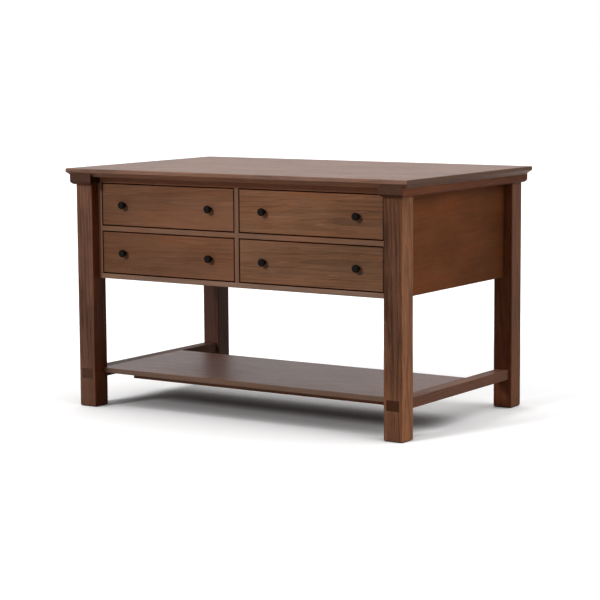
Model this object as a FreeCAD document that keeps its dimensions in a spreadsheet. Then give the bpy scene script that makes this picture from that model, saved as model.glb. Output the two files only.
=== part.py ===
"""Kitchen island: moulded top on four legs, four drawers on telescopic slides, open shelf below.

Millimetres. X runs along the island, Y from front to back, Z up.
The origin is on the floor, under the middle of the top.
"""
import FreeCAD
import Part
import os
import re

import Sketcher

SIZES = {
    # Top board: a square edge with a bevel under it
    "top_length": 1504,
    "top_depth": 926,
    "top_height": 914,
    "edge_thickness": 14,
    "bevel_height": 17,
    "bevel_inset": 18,
    "top_ease": 4,
    # Legs and their glides
    "overhang_ends": 32,
    "overhang_front": 22.5,
    "leg_size": 76,
    "leg_ease": 4,
    "foot_ease": 4,
    "glide_height": 2,
    "glide_diameter": 40,
    # Top rails: the end rails lie on the legs, the cross rails are boards between them
    "rail_height": 30,
    "rail_overhang_out": 14,
    "rail_overhang_in": 10,
    "rail_end_inset": 3.5,
    "rail_round": 15,
    "cross_rail_height": 23.5,
    # Drawer case
    "board_thickness": 19,
    "board_ease": 1,
    "case_setback": 36.5,
    "case_depth": 525,
    "back_thickness": 12,
    "mid_rail_depth": 60,
    # Side panels, held in grooves in the legs
    "panel_setback": 35,
    "panel_rise": 3,
    "panel_tongue": 8,
    "joint_fit": 0.2,
    # Stretchers, shelf and shelf battens
    "stretcher_width": 52,
    "stretcher_height": 38,
    "stretcher_low": 109,
    "stretcher_ease": 2,
    "shelf_setback": 50.5,
    "shelf_depth": 515,
    "shelf_thickness": 19,
    "shelf_ease": 2,
    "batten_setback": 41,
    "batten_width": 19,
    "batten_height": 18,
    "batten_left_inset": 127,
    "batten_right_inset": 67,
    # Drawers
    "drawer_height": 155,
    "drawer_gap": 4,
    "front_thickness": 20,
    "front_ease": 2,
    "side_thickness": 12,
    "side_low_margin": 12,
    "side_top_margin": 24,
    "bottom_thickness": 6,
    "bottom_rise": 8,
    "bottom_groove": 5,
    "rear_clearance": 25,
    # Drawer slides: three nested channels
    "slide_room": 12.7,
    "slide_height": 45,
    "slide_metal": 1.2,
    "slide_play": 0.4,
    "slide_end_margin": 4,
    # Knobs and their screws
    "knob_spacing": 399,
    "knob_outset": 2,
    "knob_base_diameter": 18,
    "knob_base_height": 3,
    "knob_neck_diameter": 14,
    "knob_neck_length": 5,
    "knob_head_diameter": 28,
    "knob_face_diameter": 22,
    "knob_back_slope": 4,
    "knob_rim": 8,
    "knob_face_slope": 3,
    "knob_ease": 2,
    "knob_bore_depth": 14,
    "screw_diameter": 4,
    "screw_fit": 0.1,
    "screw_grip": 10,
    "screw_head_diameter": 8,
    "screw_head_height": 2.5,
}

PLACES = {
    # Heights, from the top down
    "underside": "top_height - edge_thickness - bevel_height",
    "leg_top": "underside - rail_height",
    "cross_rail_low": "underside - cross_rail_height",
    "upper_front_low": "cross_rail_low - drawer_gap - drawer_height",
    "mid_rail_low": "upper_front_low - drawer_gap - board_thickness",
    "lower_front_low": "mid_rail_low - drawer_gap - drawer_height",
    "case_floor": "lower_front_low - drawer_gap",
    "case_low": "case_floor - board_thickness",
    "panel_low": "case_low + panel_rise",
    # Outer and inner faces of the legs, from the middle
    "leg_out_x": "top_length / 2 - overhang_ends",
    "leg_out_y": "top_depth / 2 - overhang_front",
    "leg_in_x": "leg_out_x - leg_size",
    "leg_in_y": "leg_out_y - leg_size",
    # End rails
    "rail_in_x": "leg_in_x - rail_overhang_in",
    "rail_width": "leg_size + rail_overhang_in + rail_overhang_out",
    "rail_half": "top_depth / 2 - rail_end_inset",
    # Drawer case and its two bays
    "case_front": "case_setback - leg_out_y",
    "case_back": "case_front + case_depth",
    "case_in_x": "leg_in_x - board_thickness",
    "bay_width": "case_in_x - board_thickness / 2",
    "bay_centre": "board_thickness / 2 + bay_width / 2",
    # Side panels
    "panel_in_x": "leg_out_x - panel_setback - board_thickness",
    "panel_half": "leg_in_y + panel_tongue - joint_fit",
    # Stretchers and shelf
    "stretcher_in_x": "leg_out_x - leg_size / 2 - stretcher_width / 2",
    "shelf_front": "shelf_setback - leg_out_y",
    "shelf_low": "stretcher_low + stretcher_height - shelf_thickness",
    # Drawer boxes
    "box_front": "case_front + front_thickness",
    "box_length": "case_depth - front_thickness - back_thickness - rear_clearance",
    "side_height": "drawer_height - side_low_margin - side_top_margin",
    "box_half": "bay_width / 2 - slide_room",
    "box_inner": "2 * box_half - 2 * side_thickness",
    "slide_length": "box_length - 2 * slide_end_margin",
    "slide_step": "slide_metal + slide_play",
    # Distances of the knob's sections from the drawer front
    "knob_head_start": "knob_base_height + knob_neck_length",
    "knob_rim_start": "knob_head_start + knob_back_slope",
    "knob_face_start": "knob_rim_start + knob_rim",
    "bore_diameter": "screw_diameter + 2 * screw_fit",
}

OUTWARDS = FreeCAD.Rotation(FreeCAD.Vector(1, 0, 0), 90)
INWARDS = FreeCAD.Rotation(FreeCAD.Vector(1, 0, 0), -90)

doc = FreeCAD.newDocument("kitchen_island")
nodes = []


def linked(text, local=()):
    """The expression text with each name led to the sheet that holds it."""
    def lead(word):
        name = word.group()
        if name in local:
            return name
        return ("Sizes." if name in SIZES else "Places.") + name
    return re.sub(r"[a-z]\w*", lead, text)


def make_sheets():
    """The driving sizes in one sheet, and what follows from them in another."""
    sizes = doc.addObject("Spreadsheet::Sheet", "Sizes")
    for row, (name, value) in enumerate(SIZES.items(), 1):
        sizes.set(f"A{row}", name)
        sizes.set(f"B{row}", str(value))
        sizes.setAlias(f"B{row}", name)
    doc.recompute()
    places = doc.addObject("Spreadsheet::Sheet", "Places")
    for row, (name, text) in enumerate(PLACES.items(), 1):
        places.set(f"A{row}", name)
        places.setAlias(f"B{row}", name)
        places.set(f"B{row}", "=" + linked(text, PLACES))
    doc.recompute()
    return sizes


def bind(item, **expressions):
    """Ties properties of an object to the sheets."""
    for name, text in expressions.items():
        item.setExpression(name, linked(text))


def put(item, corner, turn=None):
    """Places an object by three expressions, with an optional rotation."""
    if turn:
        item.Placement = FreeCAD.Placement(FreeCAD.Vector(), turn)
    for axis, text in zip("xyz", corner):
        item.setExpression("Placement.Base." + axis, linked(text))


def node(item, label):
    """Marks an object as a sub-part of the island."""
    item.Label = label
    nodes.append(item)
    return item


def board(name, size, corner):
    """A rectangular board, by its three sizes and its lowest corner."""
    box = doc.addObject("Part::Box", name)
    bind(box, Length=size[0], Width=size[1], Height=size[2])
    put(box, corner)
    return box


def rod(name, diameter, length, start, turn):
    """A cylinder that leaves its starting point along the turned Z axis."""
    cylinder = doc.addObject("Part::Cylinder", name)
    bind(cylinder, Radius=f"({diameter}) / 2", Height=length)
    put(cylinder, start, turn)
    return cylinder


def taper(name, first, last, length, start, turn):
    """A cone between two diameters."""
    cone = doc.addObject("Part::Cone", name)
    bind(cone, Radius1=f"({first}) / 2", Radius2=f"({last}) / 2", Height=length)
    put(cone, start, turn)
    return cone


def joined(name, pieces):
    """One solid from several that meet."""
    fuse = doc.addObject("Part::MultiFuse", name)
    fuse.Shapes = pieces
    return fuse


def group(name, pieces):
    """Separate solids that share one node."""
    compound = doc.addObject("Part::Compound", name)
    compound.Links = pieces
    return compound


def cut(name, base, tool):
    """A piece with another one's space taken out of it."""
    result = doc.addObject("Part::Cut", name)
    result.Base = base
    result.Tool = tool
    return result


def along(axis):
    """A test for edges that run along one axis."""
    def test(edge, bounds):
        way = edge.Vertexes[-1].Point - edge.Vertexes[0].Point
        return way.cross(axis).Length < 1e-6
    return test


def on_face(side):
    """A test for edges that lie in one face of the bounding box, such as YMin."""
    def test(edge, bounds):
        limit = getattr(bounds, side)
        own = edge.BoundBox
        axis = side[0]
        return max(abs(getattr(own, axis + "Min") - limit), abs(getattr(own, axis + "Max") - limit)) < 1e-4
    return test


def ring_from(diameter):
    """A test for round edges of at least a named diameter."""
    def test(edge, bounds):
        return isinstance(edge.Curve, Part.Circle) and edge.Curve.Radius > sizes.get(diameter) / 2 - 1e-6
    return test


def eased(name, base, *rounds):
    """A piece with rounded edges: each round is a test for edges and the name of a radius."""
    doc.recompute()
    bounds = base.Shape.BoundBox
    edges = []
    for number, edge in enumerate(base.Shape.Edges, 1):
        for test, radius in rounds:
            if test(edge, bounds):
                edges.append((number, sizes.get(radius), sizes.get(radius)))
                break
    fillet = doc.addObject("Part::Fillet", name)
    fillet.Base = base
    fillet.Edges = edges
    return fillet


def make_top():
    """The top board: a slab with its lower edge bevelled and its upper edge eased."""
    body = doc.addObject("PartDesign::Body", "top_board")
    outline = body.newObject("Sketcher::SketchObject", "top_outline")
    plane = next(feature for feature in body.Origin.OriginFeatures if feature.Role == "XY_Plane")
    outline.AttachmentSupport = [(plane, "")]
    outline.MapMode = "FlatFace"
    corners = [FreeCAD.Vector(x, y, 0) for x, y in ((-1, -1), (1, -1), (1, 1), (-1, 1))]
    for start, end in zip(corners, corners[1:] + corners[:1]):
        outline.addGeometry(Part.LineSegment(start, end))
    for line in range(4):
        outline.addConstraint(Sketcher.Constraint("Coincident", line, 2, (line + 1) % 4, 1))
        outline.addConstraint(Sketcher.Constraint("Vertical" if line % 2 else "Horizontal", line))
    outline.addConstraint(Sketcher.Constraint("Symmetric", 0, 1, 2, 1, -1, 1))
    for line, way, label in ((0, "DistanceX", "length"), (1, "DistanceY", "depth")):
        number = outline.addConstraint(Sketcher.Constraint(way, line, 1, line, 2, 2.0))
        outline.renameConstraint(number, label)
        outline.setExpression("Constraints." + label, linked("top_" + label))

    slab = body.newObject("PartDesign::Pad", "top_slab")
    slab.Profile = outline
    bind(slab, Length="edge_thickness + bevel_height")
    doc.recompute()
    bevel = body.newObject("PartDesign::Chamfer", "under_bevel")
    bevel.Base = (slab, edge_names(slab, on_face("ZMin")))
    bevel.ChamferType = "Two distances"
    bind(bevel, Size="bevel_height", Size2="bevel_inset")
    doc.recompute()
    ease = body.newObject("PartDesign::Fillet", "top_edge_ease")
    ease.Base = (bevel, edge_names(bevel, on_face("ZMax")))
    bind(ease, Radius="top_ease")
    put(body, ("0", "0", "underside"))
    return node(body, "top_board")


def edge_names(feature, test):
    """Names of a feature's edges that pass a test."""
    bounds = feature.Shape.BoundBox
    return [f"Edge{number}" for number, edge in enumerate(feature.Shape.Edges, 1) if test(edge, bounds)]


def low_corner(side, near, width):
    """Lowest coordinate of a piece that starts at near on one side of the middle."""
    return near if side > 0 else f"-({near}) - ({width})"


def make_end_rail(name, side, top):
    """A top rail over the legs of one end, rounded below and scribed to the top's bevel."""
    height = "rail_height + bevel_height"
    blank = board(name + "_blank", ("rail_width", "2 * rail_half", height),
                  (low_corner(side, "rail_in_x", "rail_width"), "-rail_half", "leg_top"))
    rounded = eased(name + "_rounded", blank, (on_face("ZMin"), "rail_round"))
    return node(cut(name, rounded, top), name)


def make_leg(name, side, depth):
    """A square leg with a groove for the side panel and a mortise for the stretcher."""
    corner_x = low_corner(side, "leg_in_x", "leg_size")
    corner_y = low_corner(depth, "leg_in_y", "leg_size")
    post = board(name + "_post", ("leg_size", "leg_size", "leg_top - glide_height"),
                 (corner_x, corner_y, "glide_height"))
    upright = along(FreeCAD.Vector(0, 0, 1))
    rounded = eased(name + "_rounded", post, (upright, "leg_ease"), (on_face("ZMin"), "foot_ease"))
    groove_width = "board_thickness + 2 * joint_fit"
    groove = board(name + "_groove", (groove_width, "panel_tongue", "leg_top - panel_low"),
                   (low_corner(side, "panel_in_x - joint_fit", groove_width),
                    low_corner(depth, "leg_in_y", "panel_tongue"), "panel_low"))
    mortise_width = "stretcher_width + 2 * joint_fit"
    mortise = board(name + "_mortise", (mortise_width, "leg_size", "stretcher_height + joint_fit"),
                    (low_corner(side, "stretcher_in_x - joint_fit", mortise_width), corner_y,
                     "stretcher_low"))
    grooved = cut(name + "_grooved", rounded, groove)
    node(cut(name, grooved, mortise), name)


def make_glides():
    """Round glides under the four legs."""
    glides = []
    for side in (-1, 1):
        for depth in (-1, 1):
            centre = (f"{side} * (leg_out_x - leg_size / 2)", f"{depth} * (leg_out_y - leg_size / 2)", "0")
            glides.append(rod("glide", "glide_diameter", "glide_height", centre, None))
    node(group("foot_glides", glides), "foot_glides")


def make_stretcher(name, side):
    """A stretcher between the legs of one end, which runs through both of them."""
    bar = board(name + "_bar", ("stretcher_width", "2 * leg_out_y", "stretcher_height"),
                (low_corner(side, "stretcher_in_x", "stretcher_width"), "-leg_out_y", "stretcher_low"))
    length = along(FreeCAD.Vector(0, 1, 0))
    node(eased(name, bar, (length, "stretcher_ease")), name)


def make_shelf():
    """The lower shelf between the stretchers, notched round the front legs, and its battens."""
    plank = board("shelf_plank", ("2 * stretcher_in_x", "shelf_depth", "shelf_thickness"),
                  ("-stretcher_in_x", "shelf_front", "shelf_low"))
    length = along(FreeCAD.Vector(1, 0, 0))
    rounded = eased("shelf_rounded", plank, (length, "shelf_ease"))
    notch_width = "stretcher_in_x - leg_in_x + joint_fit"
    notches = []
    for side in (-1, 1):
        corner = (low_corner(side, "leg_in_x - joint_fit", notch_width), "shelf_front", "shelf_low")
        size = (notch_width, "-leg_in_y - shelf_front + joint_fit", "shelf_thickness")
        notches.append(board("shelf_notch", size, corner))
    node(cut("lower_shelf", rounded, group("shelf_notches", notches)), "lower_shelf")

    battens = []
    length = "2 * stretcher_in_x - batten_left_inset - batten_right_inset"
    back = "shelf_front + shelf_depth - batten_setback - batten_width"
    for start in ("shelf_front + batten_setback", back):
        size = (length, "batten_width", "batten_height")
        corner = ("batten_left_inset - stretcher_in_x", start, "shelf_low - batten_height")
        battens.append(board("shelf_batten", size, corner))
    node(group("shelf_battens", battens), "shelf_battens")


def make_case(end_rails):
    """The drawer case between the legs, its side panels and the rails under the top."""
    front_edges = on_face("YMin")
    depth = "case_depth"
    for name, side in (("left", -1), ("right", 1)):
        wall = board(f"case_{name}_wall", ("board_thickness", depth, "cross_rail_low - case_floor"),
                     (low_corner(side, "case_in_x", "board_thickness"), "case_front", "case_floor"))
        rounded = eased(f"case_{name}_rounded", wall, (front_edges, "board_ease"))
        node(cut(f"case_{name}_side", rounded, end_rails[name]), f"case_{name}_side")
        bar = board(f"{name}_mid_bar", ("bay_width", "mid_rail_depth", "board_thickness"),
                    (low_corner(side, "board_thickness / 2", "bay_width"), "case_front", "mid_rail_low"))
        node(eased(f"{name}_mid_rail", bar, (front_edges, "board_ease")), f"{name}_mid_rail")
        panel = board(f"{name}_side_panel", ("board_thickness", "2 * panel_half", "leg_top - panel_low"),
                      (low_corner(side, "panel_in_x", "board_thickness"), "-panel_half", "panel_low"))
        node(panel, f"{name}_side_panel")

    floor = board("case_floor_board", ("2 * leg_in_x", depth, "board_thickness"),
                  ("-leg_in_x", "case_front", "case_low"))
    node(eased("case_bottom", floor, (front_edges, "board_ease")), "case_bottom")
    wall = board("centre_wall",
                 ("board_thickness", "case_depth - back_thickness", "cross_rail_low - case_floor"),
                 ("-board_thickness / 2", "case_front", "case_floor"))
    node(eased("centre_partition", wall, (front_edges, "board_ease")), "centre_partition")
    back = board("back_panel", ("2 * case_in_x", "back_thickness", "underside - case_floor"),
                 ("-case_in_x", "case_back - back_thickness", "case_floor"))
    node(back, "back_panel")
    for name, start in (("front", "case_front"), ("back", "-case_front - board_thickness")):
        rail = board(f"{name}_top_rail", ("2 * rail_in_x", "board_thickness", "cross_rail_height"),
                     ("-rail_in_x", start, "cross_rail_low"))
        node(rail, f"{name}_top_rail")


def make_channel(name, centre, side, low, near, far, height, web_on_case):
    """One slide rail: a channel between two distances from the case's face, web on one of them."""
    face = f"{centre} + {side} * bay_width / 2"
    hollow_near = f"({near}) + slide_metal" if web_on_case else near
    hollow_far = far if web_on_case else f"({far}) - slide_metal"
    start = "box_front + slide_end_margin"

    def block(label, first, last, tall):
        corner = f"{face} - ({last})" if side > 0 else f"{face} + ({first})"
        return board(label, (f"({last}) - ({first})", "slide_length", tall),
                     (corner, start, f"{low} - ({tall}) / 2"))

    outer = block(name + "_outer", near, far, height)
    hollow = block(name + "_hollow", hollow_near, hollow_far, f"({height}) - 2 * slide_metal")
    return cut(name, outer, hollow)


def make_slides(centre, middle):
    """The three rails of the slides on both sides of a drawer."""
    rails = {"case": [], "middle": [], "drawer": []}
    for side in (-1, 1):
        rails["case"].append(make_channel(
            "case_rail", centre, side, middle, "0", "slide_room - slide_metal", "slide_height", True))
        rails["middle"].append(make_channel(
            "middle_rail", centre, side, middle, "slide_step", "slide_room - slide_step",
            "slide_height - 2 * slide_step", True))
        rails["drawer"].append(make_channel(
            "drawer_rail", centre, side, middle, "2 * slide_step", "slide_room",
            "slide_height - 4 * slide_step", False))
    return rails


def make_knob(x, z):
    """A turned knob on the drawer front, bored for its screw."""
    def at(distance):
        return (x, f"case_front - ({distance})", z)

    base = rod("knob_base", "knob_base_diameter", "knob_base_height", at("0"), OUTWARDS)
    neck = rod("knob_neck", "knob_neck_diameter", "knob_neck_length", at("knob_base_height"), OUTWARDS)
    flare = taper("knob_flare", "knob_face_diameter", "knob_head_diameter", "knob_back_slope",
                  at("knob_head_start"), OUTWARDS)
    rim = rod("knob_rim", "knob_head_diameter", "knob_rim", at("knob_rim_start"), OUTWARDS)
    face = taper("knob_face", "knob_head_diameter", "knob_face_diameter", "knob_face_slope",
                 at("knob_face_start"), OUTWARDS)
    bore = rod("knob_bore", "bore_diameter", "knob_bore_depth", at("0"), OUTWARDS)
    blank = joined("knob_blank", [base, neck, flare, rim, face])
    return cut("knob", eased("knob_rounded", blank, (ring_from("knob_face_diameter"), "knob_ease")), bore)


def make_knob_screw(x, z):
    """The screw that holds a knob from inside the drawer."""
    seat = (x, "box_front", z)
    shank = rod("screw_shank", "screw_diameter", "front_thickness + screw_grip", seat, OUTWARDS)
    head = rod("screw_head", "screw_head_diameter", "screw_head_height", seat, INWARDS)
    return joined("knob_screw", [shank, head])


def make_drawer(name, bay, low):
    """A drawer: front, two sides, back, bottom, knobs and its part of the slides."""
    centre = f"{bay} * bay_centre"
    side_low = f"{low} + side_low_margin"
    bottom_low = f"{side_low} + bottom_rise"
    slot_height = "bottom_thickness + joint_fit"
    knob_height = f"{low} + drawer_height / 2"
    knob_middle = f"{bay} * (bay_centre + knob_outset)"
    knob_places = [f"{knob_middle} + {side} * knob_spacing / 2" for side in (-1, 1)]

    blank = board(name + "_front_blank", ("bay_width - 2 * drawer_gap", "front_thickness", "drawer_height"),
                  (f"{centre} - bay_width / 2 + drawer_gap", "case_front", low))
    rounded = eased(name + "_front_rounded", blank, (on_face("YMin"), "front_ease"))
    slot = board(name + "_front_slot", ("box_inner + 2 * bottom_groove", "bottom_groove", slot_height),
                 (f"{centre} - box_inner / 2 - bottom_groove", "box_front - bottom_groove", bottom_low))
    bores = []
    for x in knob_places:
        start = (x, "box_front", knob_height)
        bores.append(rod(name + "_bore", "bore_diameter", "front_thickness", start, OUTWARDS))
    slotted = cut(name + "_front_slotted", rounded, slot)
    node(cut(name + "_front", slotted, group(name + "_bores", bores)), name + "_front")

    for label, side in (("left", -1), ("right", 1)):
        inner = f"{centre} + {side} * box_inner / 2"
        outer_low = inner if side > 0 else f"{inner} - side_thickness"
        plank = board(f"{name}_{label}_plank", ("side_thickness", "box_length", "side_height"),
                      (outer_low, "box_front", side_low))
        groove_low = inner if side > 0 else f"{inner} - bottom_groove"
        groove = board(f"{name}_{label}_groove", ("bottom_groove", "box_length", slot_height),
                       (groove_low, "box_front", bottom_low))
        node(cut(f"{name}_{label}_side", plank, groove), f"{name}_{label}_side")

    bottom = board(name + "_bottom",
                   ("box_inner + 2 * bottom_groove - 2 * joint_fit",
                    "box_length + bottom_groove - joint_fit", "bottom_thickness"),
                   (f"{centre} - box_inner / 2 - bottom_groove + joint_fit",
                    "box_front - bottom_groove + joint_fit", bottom_low))
    node(bottom, name + "_bottom")
    back = board(name + "_back",
                 ("box_inner", "side_thickness", "side_height - bottom_rise - bottom_thickness"),
                 (f"{centre} - box_inner / 2", "box_front + box_length - side_thickness",
                  f"{bottom_low} + bottom_thickness"))
    node(back, name + "_back")

    node(group(name + "_knobs", [make_knob(x, knob_height) for x in knob_places]), name + "_knobs")
    screws = [make_knob_screw(x, knob_height) for x in knob_places]
    node(group(name + "_knob_screws", screws), name + "_knob_screws")
    rails = make_slides(centre, f"{side_low} + side_height / 2")
    node(group(name + "_middle_rails", rails["middle"]), name + "_middle_rails")
    node(group(name + "_slide_rails", rails["drawer"]), name + "_slide_rails")
    return rails["case"]


def make_island():
    """All sub-parts."""
    top = make_top()
    end_rails = {}
    for side_name, side in (("left", -1), ("right", 1)):
        make_leg(f"front_{side_name}_leg", side, -1)
        make_leg(f"back_{side_name}_leg", side, 1)
        end_rails[side_name] = make_end_rail(f"{side_name}_top_rail", side, top)
        make_stretcher(f"{side_name}_stretcher", side)
    make_glides()
    make_shelf()
    make_case(end_rails)
    case_rails = []
    for level in ("upper", "lower"):
        for bay_name, bay in (("left", -1), ("right", 1)):
            case_rails += make_drawer(f"{level}_{bay_name}_drawer", bay, f"{level}_front_low")
    node(group("case_slide_rails", case_rails), "case_slide_rails")


def check():
    """Stops if an object failed or a sub-part has no sound shape."""
    failed = [item.Label for item in doc.Objects if "Invalid" in item.State or "Error" in item.State]
    failed += [item.Label for item in nodes if item.Shape.isNull() or not item.Shape.isValid()]
    failed += [item.Label for item in nodes if not item.Shape.Solids]
    if failed:
        raise RuntimeError("failed: " + ", ".join(failed))


sizes = make_sheets()
make_island()
doc.recompute()
check()
os.makedirs("parts", exist_ok=True)
for item in nodes:
    item.Shape.exportStep(os.path.join("parts", item.Label + ".step"))
print(len(nodes), "sub-parts,", sum(len(item.Shape.Solids) for item in nodes), "solids")
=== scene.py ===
from math import cos, radians, sin

import bpy
from mathutils import Euler, Matrix, Vector


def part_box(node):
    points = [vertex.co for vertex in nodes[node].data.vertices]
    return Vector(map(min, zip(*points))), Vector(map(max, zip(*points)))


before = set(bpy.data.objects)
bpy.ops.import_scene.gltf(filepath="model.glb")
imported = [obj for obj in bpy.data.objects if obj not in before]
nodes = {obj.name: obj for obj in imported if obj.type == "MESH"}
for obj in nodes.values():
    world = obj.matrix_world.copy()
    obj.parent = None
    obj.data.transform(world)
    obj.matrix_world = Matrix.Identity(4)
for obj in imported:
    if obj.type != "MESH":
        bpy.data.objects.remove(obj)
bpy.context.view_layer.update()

# In the wood, X lies along the grain
ACROSS_GRAIN = Vector((0, 1, 1))
NOISE_MIDDLE = 0.5
# Noises: cycles per metre along each axis, octaves and roughness
RING_BEND_NOISE = ((1.6, 6, 6), 2.0, 0.5)
RING_JITTER_NOISE = ((4, 45, 45), 2.0, 0.5)
RING_STRENGTH_NOISE = ((2.5, 12, 12), 2.0, 0.5)
FIBRE_NOISE = ((5, 170, 170), 4.0, 0.6)
BLOTCH_NOISE = ((2.2, 9, 9), 3.0, 0.55)
CLOUD_NOISE = ((5, 9, 9), 2.0, 0.5)
PORE_NOISE = ((32, 900, 900), 1.0, 0.5)
MARK_NOISE = ((7, 130, 130), 2.0, 0.5)
LINE_NOISE = ((9, 230, 230), 2.0, 0.5)
WARMTH_NOISE = ((3, 22, 22), 3.0, 0.6)
WEAR_NOISE = ((9, 9, 9), 3.0, 0.5)
STEEL_NOISE = ((900, 12, 900), 3.0, 0.6)
BRONZE_NOISE = ((300, 300, 300), 3.0, 0.6)
METAL_SLOW_NOISE = ((60, 60, 60), 3.0, 0.5)
NYLON_NOISE = ((900, 900, 900), 2.0, 0.5)
FLOOR_NOISE = ((0.4, 0.4, 0.4), 2.0, 0.5)

# Steps: the values where a soft step starts and ends, and what it leads from and to, if not 0 and 1
LATE_WOOD_STEP = (0.25, 0.9)
RING_BORDER_STEP = (0.93, 1.0, 1.0, 0.0)
RING_STRENGTH_STEP = (0.3, 0.7, 0.25, 1.0)
PORE_STEP = (0.60, 0.72)
MARK_STEP = (0.60, 0.76)
LINE_STEP = (0.56, 0.70)
WARMTH_STEP = (0.42, 0.68)
WEAR_STEP = (0.40, 0.65)
END_GRAIN_STEP = (0.75, 0.95)
FACE_STEP = (0.5, 0.66)
WOOD_EDGE_STEP = (0.99, 0.80)
METAL_EDGE_STEP = (0.99, 0.85)
METAL_WEAR_STEP = (0.35, 0.65)

# Depth of the stain in plain wood, and what each kind of mark adds to it
PLAIN_DEPTH = 0.38
BLOTCH_DEPTH = 0.9
LINE_DEPTH = 0.45
FIBRE_DEPTH = 0.9
RING_DEPTH = 0.55
PORE_DEPTH = 0.30
# Roughness of plain wood, and what fibres, pores and end grain add to it
PLAIN_ROUGHNESS = 0.40
FIBRE_ROUGHNESS = 0.25
PORE_ROUGHNESS = 0.12
END_ROUGHNESS = 0.12
# Height of pores and rings beside that of the fibres
PORE_HEIGHT = -0.8
RING_HEIGHT = -0.5
# How far noise bends the rings, in metres, the tint of warmer wood, and the lightness of end grain
RING_BEND = 0.03
WARMER = (1.10, 0.96, 0.82, 1.0)
END_LIGHTNESS = 0.6
END_FIBRE_LIGHTNESS = 0.8
# How far the marks and the worn edges of a metal change its colour, and its slow noise the roughness
METAL_MARKS = 0.5
METAL_WEAR = 0.6
METAL_ROUGHNESS_CHANGE = 0.3
# Nylon: its two tones, its roughness and what noise adds to that
NYLON_TONES = ((38, 32, 28), (58, 50, 44))
NYLON_ROUGHNESS = 0.5
NYLON_ROUGHNESS_CHANGE = 0.2
# Radius of the eased edges in metres, and rays that find them
WOOD_EDGE_RADIUS = 0.0022
METAL_EDGE_RADIUS = 0.0008
EDGE_SAMPLES = 4
# Bumps: strength, and distance in metres
WOOD_BUMP = {"Strength": 0.35, "Distance": 0.0006}
METAL_BUMP = {"Strength": 0.15, "Distance": 0.0002}
NYLON_BUMP = {"Strength": 0.2, "Distance": 0.0002}
# Turns in degrees that lay the grain along an axis of the frame
GRAIN_TURNS = {"x": (0, 0, 0), "y": (0, 0, -90), "z": (0, 90, 0)}

# Stains, in 0 to 255 as seen on a screen, some of them holding painted light and shade, as noted beside
# them.
# STRIP is for the boards whose edges show between the drawers, and HIDDEN for pieces that the photograph
# shows little or nothing of
TOP = (113, 80, 63)
TOP_ENDS = (84, 53, 29)
# Lit and shaded copies of the top's stain, for its front edge, underside and right end: painted light makes
# the front edge lighter, and painted shade makes the right end darker
TOP_FACES = {"-y": (125, 92, 76), "-z": (117, 77, 54), "+x": (90, 52, 24)}
LEG = (108, 73, 55)
RAIL = (109, 65, 44)
RAIL_ENDS = (82, 57, 46)
SHELF = (88, 51, 35)
SHELF_FRONT = (91, 65, 49)
CASE_SIDE = (122, 91, 75)
CASE_BOTTOM = (128, 101, 85)
STRIP = (119, 88, 70)
# Ends of the drawer fronts: end grain, made darker as painted shade in the gaps beside the drawers
FRONT_ENDS_AND_GAP_SHADE = (78, 37, 17)
BOX = (188, 150, 106)
# Painted shade: a dark tone for the faces within the case that show in the gaps round the drawers
GAP_SHADE = (88, 42, 19)
HIDDEN = (131, 87, 64)
# Pieces of each end: shift of the rings' heart, stains, and fades as in wood(). Some of these stains and
# fades are painted light and shade, as noted at each end
ENDS = {
    # Left end: painted shade darkens the rail's inner side and the whole stretcher; the rail's front is its
    # end grain
    "left": {"shift": 0.03, "rail_side": (58, 32, 20), "rail_front": (84, 54, 44), "rail_fades": [],
             "panel": (112, 73, 52), "panel_fades": [],
             "stretcher": (76, 51, 41), "stretcher_ends": (81, 55, 44)},
    # Right end: the rail's front is a painted shadow, and its fade a painted highlight at the front, darker
    # to the back. The panel's fades are painted shade towards the back and painted light towards the top
    "right": {"shift": -0.02, "rail_side": RAIL, "rail_front": (42, 20, 11),
              "rail_fades": [("y", 0.46, 1.28, 0.82)],
              "panel": (112, 65, 36), "panel_fades": [("y", 0.38, 1.17, 0.72), ("z", 0.08, 0.96, 1.30)],
              "stretcher": (110, 76, 60), "stretcher_ends": (68, 41, 27)}}
# Legs: tones of the front and side faces, heart of the rings from the middle, lightness at foot and head,
# and strength of the figure. The face tones are partly stain and partly painted light and shade: painted
# shade darkens the inner side faces of the left legs and the front of the back left leg, and painted light
# lightens the right face of the front right leg. The reach is half the length over which the lightness
# changes
LEGS = {"front_left": ((108, 75, 60), (102, 53, 29), (-0.030, -0.012, 0), (0.74, 1.08), 0.6),
        "front_right": ((102, 68, 50), (157, 104, 70), (-0.026, -0.006, 0), (1.03, 0.89), 0.9),
        "back_left": ((71, 49, 41), (58, 36, 25), (0.020, -0.010, 0), (0.95, 1.05), 0.5),
        "back_right": ((112, 64, 43), (114, 71, 46), (0.012, 0.010, 0), (0.93, 0.95), 0.5)}
LEG_REACH = 0.42
# Drawer fronts: stain, heart of the rings from the middle, strength of the figure, and lightness at the left
# and right ends, with its reach
FRONTS = {"upper_left": ((117, 80, 59), (-0.05, 0.045, 0.03), 0.4, (0.86, 1.14)),
          "upper_right": ((121, 84, 61), (0.1, 0.050, -0.02), 0.75, (1.08, 0.90)),
          "lower_left": ((113, 77, 56), (0.08, 0.055, -0.03), 0.4, (0.84, 1.14)),
          "lower_right": ((117, 83, 61), (-0.1, 0.030, 0.01), 0.75, (1.06, 0.92))}
FRONT_REACH = 0.30

# Floor: size in metres, two shades where it is lit, shade and reach of the shadow by the object, the step
# of open sky that the shadow follows, rays that find it, and the shade that lights the object from below
FLOOR_SIZE = 60
FLOOR_SHADES = (1.13, 1.15)
SHADOW_SHADE = 0.47
SHADOW_REACH = 0.6
SHADOW_STEP = (0.05, 0.62)
SHADOW_SAMPLES = 16
BOUNCE_SHADE = 0.32
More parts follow.
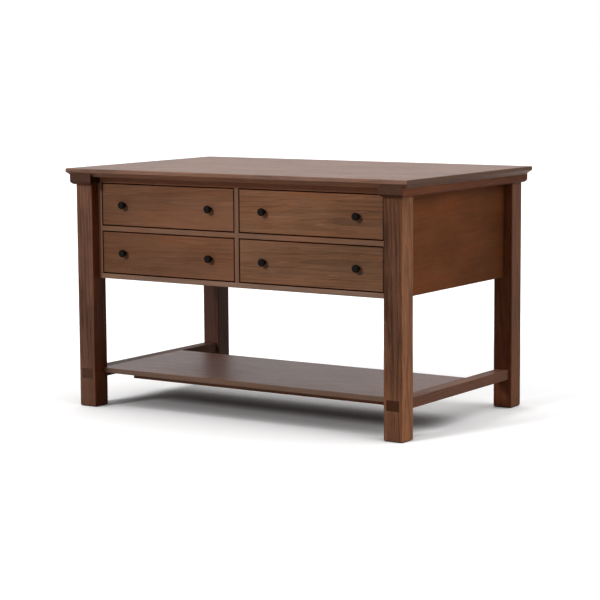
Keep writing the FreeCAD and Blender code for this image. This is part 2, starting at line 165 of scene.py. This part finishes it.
# Sky: its brightest side, and the constant, linear and square parts of its strength towards that side
SKY_TOP = Vector((0.0, 0.3, 1.0)).normalized()
SKY_STRENGTHS = (0.03, 0.3, 1.1)
# Suns: the way their light goes, strength, and angle across in degrees
SUNS = {"key": ((0.28, 0.84, -0.47), 1.75, 14),
        "right_fill": ((-0.75, -0.12, -0.65), 0.75, 50),
        "left_fill": ((0.9, 0.05, -0.35), 0.3, 70)}
# Camera, fitted to the photograph: place in metres, yaw, pitch and roll in degrees, lens and sensor in mm
CAMERA_PLACE = (4.24227, -6.36257, 1.36807)
CAMERA_TURNS = (33.658, 7.160, 0.380)
CAMERA_LENS = 121.318
CAMERA_SENSOR = 36.0


class Graph:
    """A node tree with short ways to add nodes. An argument is a plain value or another node's output."""

    def __init__(self, tree):
        self.tree = tree

    def put(self, socket, value):
        """Sets a socket, or links it."""
        if isinstance(value, bpy.types.NodeSocket):
            self.tree.links.new(value, socket)
        else:
            socket.default_value = value

    def node(self, kind, inputs=None, **settings):
        node = self.tree.nodes.new("ShaderNode" + kind)
        for name, value in settings.items():
            setattr(node, name, value)
        for name, value in (inputs or {}).items():
            self.put(node.inputs[name], value)
        return node

    def math(self, operation, *values, clamp=False):
        node = self.node("Math", dict(enumerate(values)), operation=operation, use_clamp=clamp)
        return node.outputs[0]

    def centred(self, value):
        """A noise value, moved so that its middle is 0."""
        return self.math("SUBTRACT", value, NOISE_MIDDLE)

    def total(self, base, *parts):
        """A base plus each amount times its weight."""
        for amount, weight in parts:
            base = self.math("MULTIPLY_ADD", amount, weight, base)
        return base

    def step(self, value, low, high, first=0.0, last=1.0):
        inputs = {"Value": value, "From Min": low, "From Max": high, "To Min": first, "To Max": last}
        return self.node("MapRange", inputs, interpolation_type="SMOOTHSTEP").outputs["Result"]

    def vector(self, operation, *values):
        node = self.node("VectorMath", dict(enumerate(values)), operation=operation)
        return node.outputs["Value" if operation in ("LENGTH", "DOT_PRODUCT") else "Vector"]

    def axes(self, vector):
        """The three parts of a vector, by axis."""
        return dict(zip("xyz", self.node("SeparateXYZ", {0: vector}).outputs))

    def noise(self, place, stretch, detail, roughness, output="Fac"):
        scaled = self.vector("MULTIPLY", place, stretch)
        inputs = {"Vector": scaled, "Scale": 1.0, "Detail": detail, "Roughness": roughness}
        return self.node("TexNoise", inputs).outputs[output]

    def blend(self, factor, first, second, mode="MIX"):
        """Mixes two colours. They go to sockets 6 and 7 of the node, and output 2 is the result."""
        node = self.node("Mix", {0: factor, 6: first, 7: second}, data_type="RGBA", blend_type=mode)
        return node.outputs[2]

    def tinted(self, colour, tint):
        return self.blend(1.0, colour, tint, "MULTIPLY")

    def place(self):
        """The point of the surface, in the frame at rest."""
        return self.node("TexCoord").outputs["Object"]

    def edge(self, radius, step):
        """The normal with its edges eased, and how far the surface is on an edge."""
        eased = self.node("Bevel", {"Radius": radius}, samples=EDGE_SAMPLES).outputs["Normal"]
        flat = self.node("NewGeometry").outputs["True Normal"]
        return eased, self.step(self.vector("DOT_PRODUCT", eased, flat), *step)

    def end(self, shader):
        """Makes a shader the surface of the material."""
        self.put(self.node("OutputMaterial").inputs["Surface"], shader.outputs["BSDF"])

    def finish(self, bump, inputs):
        """Ends the material with a principled shader over a bump."""
        normal = self.node("Bump", bump).outputs["Normal"]
        self.end(self.node("BsdfPrincipled", {**inputs, "Normal": normal}))


def linear(red, green, blue):
    """A colour given in 0 to 255 as shown on a screen, by the sRGB formula."""
    def channel(value):
        value /= 255
        return value / 12.92 if value <= 0.04045 else ((value + 0.055) / 1.055) ** 2.4
    return (channel(red), channel(green), channel(blue), 1.0)


def grey(shade):
    return (shade, shade, shade, 1.0)


def tones(stain, spread=0.35):
    """Light and dark tones round a stain."""
    mean = Vector(linear(*stain)[:3])
    return (*(mean * (1 + spread)), 1.0), (*(mean * (1 - spread)), 1.0)


def turned(degrees):
    return Euler([radians(angle) for angle in degrees]).to_matrix()


def new_material(name):
    material = bpy.data.materials.new(name)
    material.use_nodes = True
    material.node_tree.nodes.clear()
    return material, Graph(material.node_tree)


def ring_figure(graph, grain, rings, figure):
    """The dark late wood of the rings, which lie round the grain axis and are bent by slow noise."""
    bend = graph.vector("SUBTRACT", graph.noise(grain, *RING_BEND_NOISE, "Color"), [NOISE_MIDDLE] * 3)
    bent = graph.vector("ADD", grain, graph.vector("MULTIPLY", bend, RING_BEND * ACROSS_GRAIN))
    radius = graph.vector("LENGTH", graph.vector("MULTIPLY", bent, ACROSS_GRAIN))
    turns = graph.total(graph.noise(grain, *RING_JITTER_NOISE), (radius, rings))
    phase = graph.math("FRACT", turns)
    late = graph.math("MULTIPLY", graph.step(phase, *LATE_WOOD_STEP), graph.step(phase, *RING_BORDER_STEP))
    strength = graph.step(graph.noise(grain, *RING_STRENGTH_NOISE), *RING_STRENGTH_STEP)
    return graph.math("MULTIPLY", graph.math("MULTIPLY", late, strength), figure)


def wood_group():
    """Stained wood in grain coordinates, X along the grain.
    It has rings, fibres, pores, blotches, clouds, dark lines and paler brush marks."""
    tree = bpy.data.node_groups.new("stained_wood_grain", "ShaderNodeTree")
    sockets = {"INPUT": {"Vector": ["Grain"], "Color": ["Light", "Dark", "Ends"],
                         "Float": ["Rings", "Figure", "Marks", "Clouds", "End", "Wear"]},
               "OUTPUT": {"Color": ["Color"], "Float": ["Roughness", "Height"]}}
    for way, kinds in sockets.items():
        for kind, names in kinds.items():
            for name in names:
                tree.interface.new_socket(name, in_out=way, socket_type="NodeSocket" + kind)
    graph = Graph(tree)
    given = tree.nodes.new("NodeGroupInput").outputs
    result = tree.nodes.new("NodeGroupOutput").inputs

    grain = given["Grain"]
    rings = ring_figure(graph, grain, given["Rings"], given["Figure"])
    fibre = graph.noise(grain, *FIBRE_NOISE)
    fibre_change = graph.centred(fibre)
    blotch_change = graph.centred(graph.noise(grain, *BLOTCH_NOISE))
    cloud_change = graph.centred(graph.noise(grain, *CLOUD_NOISE))
    pores = graph.step(graph.noise(grain, *PORE_NOISE), *PORE_STEP)
    marks = graph.step(graph.noise(grain, *MARK_NOISE), *MARK_STEP)
    lines = graph.step(graph.noise(grain, *LINE_NOISE), *LINE_STEP)

    depth = graph.total(PLAIN_DEPTH, (blotch_change, BLOTCH_DEPTH), (cloud_change, given["Clouds"]),
                        (graph.math("MULTIPLY", lines, given["Figure"]), LINE_DEPTH),
                        (fibre_change, FIBRE_DEPTH), (rings, RING_DEPTH), (pores, PORE_DEPTH))
    depth = graph.math("SUBTRACT", depth, graph.math("MULTIPLY", marks, given["Marks"]), clamp=True)
    warm = graph.step(graph.noise(grain, *WARMTH_NOISE), *WARMTH_STEP)
    light = graph.blend(warm, given["Light"], graph.tinted(given["Light"], WARMER))
    tone = graph.blend(depth, light, given["Dark"])
    ends = graph.tinted(given["Ends"], graph.total(END_LIGHTNESS, (fibre, END_FIBRE_LIGHTNESS)))
    tone = graph.blend(given["End"], tone, ends)
    graph.put(result["Color"], graph.blend(given["Wear"], tone, given["Light"]))

    rough = graph.total(PLAIN_ROUGHNESS, (fibre_change, FIBRE_ROUGHNESS), (pores, PORE_ROUGHNESS),
                        (given["End"], END_ROUGHNESS))
    graph.put(result["Roughness"], rough)
    graph.put(result["Height"], graph.total(fibre, (pores, PORE_HEIGHT), (rings, RING_HEIGHT)))
    return tree


WOOD = wood_group()


def face_share(graph, towards, way):
    """One on the faces towards an axis with a sign, or across an axis without one."""
    facing = towards[way[-1]]
    if way[0] == "-":
        facing = graph.math("MULTIPLY", facing, -1.0)
    elif way[0] != "+":
        facing = graph.math("ABSOLUTE", facing)
    return graph.step(facing, *FACE_STEP)


def wood(name, axis, stain, heart, rings=100.0, figure=0.8, marks=0.35, clouds=0.5, worn=0.5, gloss=0.06,
         tilt=(0, 1.5, 1.0), ends=None, faces=(), fades=()):
    """A wood with its grain along one axis, turned from it by the few degrees of tilt.
    stain is its light and dark tone. heart is the middle of its rings, as a point of the frame.
    faces gives the tones of the faces that differ: those towards an axis with a sign, or across an axis
    without one. ends is the stain of the end grain. fades gives an axis of the frame, half the length along
    it and how light its two ends are."""
    material, graph = new_material(name)
    place = graph.place()
    moved = graph.vector("SUBTRACT", place, heart)
    turn = (turned(tilt) @ turned(GRAIN_TURNS[axis])).to_euler()
    grain = graph.node("Mapping", {"Vector": moved, "Rotation": turn}).outputs["Vector"]

    towards = graph.axes(graph.node("NewGeometry").outputs["True Normal"])
    end = graph.step(graph.math("ABSOLUTE", towards[axis]), *END_GRAIN_STEP)
    eased, edge = graph.edge(WOOD_EDGE_RADIUS, WOOD_EDGE_STEP)
    patchy = graph.step(graph.noise(place, *WEAR_NOISE), *WEAR_STEP)
    wear = graph.math("MULTIPLY", graph.math("MULTIPLY", edge, patchy), worn)

    light, dark = stain
    ends = linear(*ends) if ends else dark
    for way, (face_light, face_dark) in faces:
        share = face_share(graph, towards, way)
        light = graph.blend(share, light, face_light)
        dark = graph.blend(share, dark, face_dark)
    for way, reach, first, last in fades:
        level = graph.step(graph.axes(moved)[way], -reach, reach, first, last)
        light = graph.tinted(light, level)
        dark = graph.tinted(dark, level)

    inputs = {"Grain": grain, "Light": light, "Dark": dark, "Ends": ends, "Rings": rings, "Figure": figure,
              "Marks": marks, "Clouds": clouds, "End": end, "Wear": wear}
    made = graph.node("Group", inputs, node_tree=WOOD).outputs
    graph.finish({"Height": made["Height"], "Normal": eased, **WOOD_BUMP},
                 {"Base Color": made["Color"], "Roughness": made["Roughness"], "Specular IOR Level": gloss})
    return material


def metal(name, colour, worn, roughness, metallic, noise, gloss=0.5):
    """A metal finish with fine marks and paler worn edges."""
    material, graph = new_material(name)
    place = graph.place()
    fine = graph.noise(place, *noise)
    slow = graph.noise(place, *METAL_SLOW_NOISE)
    eased, edge = graph.edge(METAL_EDGE_RADIUS, METAL_EDGE_STEP)
    edge = graph.math("MULTIPLY", edge, graph.step(slow, *METAL_WEAR_STEP))
    marks = graph.math("MULTIPLY", graph.centred(fine), METAL_MARKS)
    tone = graph.math("MULTIPLY_ADD", edge, METAL_WEAR, marks, clamp=True)
    shine = graph.total(roughness, (graph.centred(slow), METAL_ROUGHNESS_CHANGE))
    graph.finish({"Height": fine, "Normal": eased, **METAL_BUMP},
                 {"Base Color": graph.blend(tone, linear(*colour), linear(*worn)), "Metallic": metallic,
                  "Roughness": shine, "Specular IOR Level": gloss})
    return material


def nylon(name):
    """Dark moulded plastic with a fine matt texture."""
    material, graph = new_material(name)
    fine = graph.noise(graph.place(), *NYLON_NOISE)
    colour = graph.blend(fine, *(linear(*tone) for tone in NYLON_TONES))
    rough = graph.total(NYLON_ROUGHNESS, (fine, NYLON_ROUGHNESS_CHANGE))
    graph.finish({"Height": fine, **NYLON_BUMP}, {"Base Color": colour, "Roughness": rough})
    return material


def paint(name, material):
    """Gives a CAD node its material."""
    slots = nodes[name].data.materials
    slots.clear()
    slots.append(material)


def stain_node(name, axis, stain, shift, **settings):
    """Gives a CAD node a wood of its own. shift leads from its middle to the heart of the rings."""
    low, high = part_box(name)
    heart = (low + high) / 2 + Vector(shift)
    paint(name, wood("wood_" + name, axis, stain, heart, **settings))


def dress_end(end, looks):
    """Materials for the pieces of one end."""
    shift = looks["shift"]
    gap_shade = tones(GAP_SHADE)
    # The rail's faces and fades and the panel's fades hold the painted light and shade given for each end
    rail_faces = [("+x", tones(looks["rail_side"])), ("-y", tones(looks["rail_front"]))]
    stain_node(f"{end}_top_rail", "y", tones(RAIL), (shift, 0, -0.12), figure=0.4, gloss=0.015,
               ends=RAIL_ENDS, faces=rail_faces, fades=looks["rail_fades"])
    stain_node(f"{end}_side_panel", "y", tones(looks["panel"], spread=0.28), (0.30, 0, 0.09), rings=40,
               figure=0.2, marks=0.0, clouds=1.2, gloss=0.012, fades=looks["panel_fades"])
    stain_node(f"{end}_stretcher", "y", tones(looks["stretcher"]), (shift, 0, 0.09), figure=0.4, gloss=0.02,
               ends=looks["stretcher_ends"])
    # Faces of the mid rail and the case side that show in the gaps get the painted gap shade
    stain_node(f"{end}_mid_rail", "x", tones(STRIP), (0, 0.12, shift), figure=0.3, faces=[("z", gap_shade)])
    stain_node(f"case_{end}_side", "z", tones(CASE_SIDE), (shift, 0.4, 0), figure=0.3, faces=[("x", gap_shade)])


def dress_frame():
    """Materials for the rest of the frame."""
    gap_shade = tones(GAP_SHADE)
    hidden = tones(HIDDEN)
    # The top's front edge, underside and right end take lit and shaded copies of its stain, as painted light
    # and shade
    top_faces = [(way, tones(stain, spread=0.5)) for way, stain in TOP_FACES.items()]
    stain_node("top_board", "x", tones(TOP, spread=0.5), (0, 0.1, -0.25), rings=70, figure=0.6, marks=0.4,
               gloss=0.176, ends=TOP_ENDS, faces=top_faces)
    for leg, (front, side, shift, levels, figure) in LEGS.items():
        # The front and inner or right faces take tones that are partly stain and partly painted light and
        # shade
        leg_faces = [("-y", tones(front, spread=0.55)), ("+x", tones(side, spread=0.42))]
        # The stronger edge wear on the legs is partly real wear and partly a painted highlight along their
        # edges
        stain_node(leg + "_leg", "z", tones(LEG, spread=0.42), shift, rings=80, figure=figure, clouds=0.8,
                   worn=0.8, gloss=0.04, tilt=(0, 2.2, 1.4), faces=leg_faces,
                   fades=[("z", LEG_REACH, *levels)])
    # Faces of the partition and the case bottom that show in the gaps get the painted gap shade
    stain_node("centre_partition", "z", tones(STRIP), (0.02, 0.4, 0), figure=0.3, faces=[("x", gap_shade)])
    stain_node("case_bottom", "x", tones(CASE_BOTTOM), (0, 0.2, -0.1), figure=0.3, faces=[("z", gap_shade)])
    for name in ("front_top_rail", "back_top_rail", "back_panel"):
        stain_node(name, "x", hidden, (0, 0.08, 0.06), figure=0.4)
    stain_node("lower_shelf", "x", tones(SHELF), (0, 0.05, -0.2), rings=80, figure=0.4, marks=0.25,
               gloss=0.32, faces=[("-y", tones(SHELF_FRONT))])
    stain_node("shelf_battens", "x", hidden, (0, 0.05, -0.1), figure=0.4)
    paint("foot_glides", nylon("dark_nylon"))


def dress_drawers():
    """Materials for the four drawers and all slides."""
    box = tones(BOX, spread=0.25)
    box_sides = wood("wood_box_sides", "y", box, Vector((0, 0, 0.3)), rings=70, figure=0.5)
    box_ends = wood("wood_box_ends", "x", box, Vector((0, -0.4, 0.4)), rings=70, figure=0.5)
    steel = metal("zinc_steel", (168, 172, 176), worn=(205, 206, 206), roughness=0.38, metallic=1.0,
                  noise=STEEL_NOISE)
    bronze = metal("dark_bronze", (17, 13, 11), worn=(58, 44, 34), roughness=0.45, metallic=0.1,
                   noise=BRONZE_NOISE, gloss=0.05)
    pieces = {"left_side": box_sides, "right_side": box_sides, "back": box_ends, "bottom": box_ends,
              "knob_screws": steel, "slide_rails": steel, "middle_rails": steel, "knobs": bronze}
    for place, (stain, shift, figure, levels) in FRONTS.items():
        drawer = place + "_drawer"
        # Each front's ends and its top and bottom edges are darker, as painted shade in the gaps round it
        stain_node(drawer + "_front", "x", tones(stain, spread=0.34), shift, rings=90, figure=figure,
                   marks=figure, ends=FRONT_ENDS_AND_GAP_SHADE, faces=[("z", tones(GAP_SHADE))],
                   fades=[("x", FRONT_REACH, *levels)])
        for piece, material in pieces.items():
            paint(f"{drawer}_{piece}", material)
    paint("case_slide_rails", steel)


def seen_ray(graph):
    """One for the rays that show the surroundings: straight to the camera, mirrored or through glass."""
    path = graph.node("LightPath").outputs
    seen = graph.math("MAXIMUM", path["Is Camera Ray"], path["Is Glossy Ray"])
    return graph.math("MAXIMUM", seen, path["Is Transmission Ray"])


def set_floor():
    """A white floor with a soft shadow by the object."""
    bpy.ops.mesh.primitive_plane_add(size=FLOOR_SIZE)
    floor = bpy.context.object
    floor.name = "floor"
    material, graph = new_material("floor_white")
    cloudy = graph.noise(graph.place(), *FLOOR_NOISE)
    tint = graph.blend(cloudy, *(grey(shade) for shade in FLOOR_SHADES))
    occlusion = graph.node("AmbientOcclusion", {"Distance": SHADOW_REACH}, samples=SHADOW_SAMPLES)
    open_sky = graph.step(occlusion.outputs["AO"], *SHADOW_STEP)
    tint = graph.blend(open_sky, grey(SHADOW_SHADE), tint)
    tint = graph.blend(seen_ray(graph), grey(BOUNCE_SHADE), tint)
    graph.end(graph.node("BsdfDiffuse", {"Color": tint}))
    floor.data.materials.append(material)


def set_sky():
    """A sky that looks white, and lights the object mostly from above."""
    world = bpy.data.worlds.new("studio")
    bpy.context.scene.world = world
    world.use_nodes = True
    world.node_tree.nodes.clear()
    graph = Graph(world.node_tree)
    up = graph.vector("DOT_PRODUCT", graph.node("TexCoord").outputs["Generated"], SKY_TOP)
    up = graph.math("MAXIMUM", up, 0.0)
    constant, slope, square = SKY_STRENGTHS
    sky = graph.total(constant, (graph.total(slope, (up, square)), up))
    strength = graph.node("Mix", {0: seen_ray(graph), 2: sky, 3: 1.0}).outputs[0]
    back = graph.node("Background", {"Color": grey(1.0), "Strength": strength})
    graph.put(graph.node("OutputWorld").inputs["Surface"], back.outputs["Background"])


def set_suns():
    """A key light from the front left and two soft fills."""
    for name, (towards, strength, angle) in SUNS.items():
        data = bpy.data.lights.new(name, "SUN")
        data.energy = strength
        data.angle = radians(angle)
        lamp = bpy.data.objects.new(name, data)
        lamp.rotation_euler = Vector(towards).to_track_quat("-Z", "Y").to_euler()
        bpy.context.scene.collection.objects.link(lamp)


def set_camera():
    """The camera that took the photograph, as far as the fit tells."""
    data = bpy.data.cameras.new("camera")
    data.sensor_width = CAMERA_SENSOR
    data.lens = CAMERA_LENS
    camera = bpy.data.objects.new("camera", data)
    yaw, pitch, roll = (radians(angle) for angle in CAMERA_TURNS)
    forward = Vector((-sin(yaw) * cos(pitch), cos(yaw) * cos(pitch), -sin(pitch)))
    right = Vector((cos(yaw), sin(yaw), 0))
    down = forward.cross(right)
    rolled_right = cos(roll) * right + sin(roll) * down
    rolled_down = cos(roll) * down - sin(roll) * right
    turn = Matrix((rolled_right, -rolled_down, -forward)).transposed().to_4x4()
    camera.matrix_world = Matrix.Translation(CAMERA_PLACE) @ turn
    bpy.context.scene.collection.objects.link(camera)
    bpy.context.scene.camera = camera


for end_name, end_looks in ENDS.items():
    dress_end(end_name, end_looks)
dress_frame()
dress_drawers()
set_floor()
set_sky()
set_suns()
set_camera()
bpy.context.scene.view_settings.view_transform = "Standard"
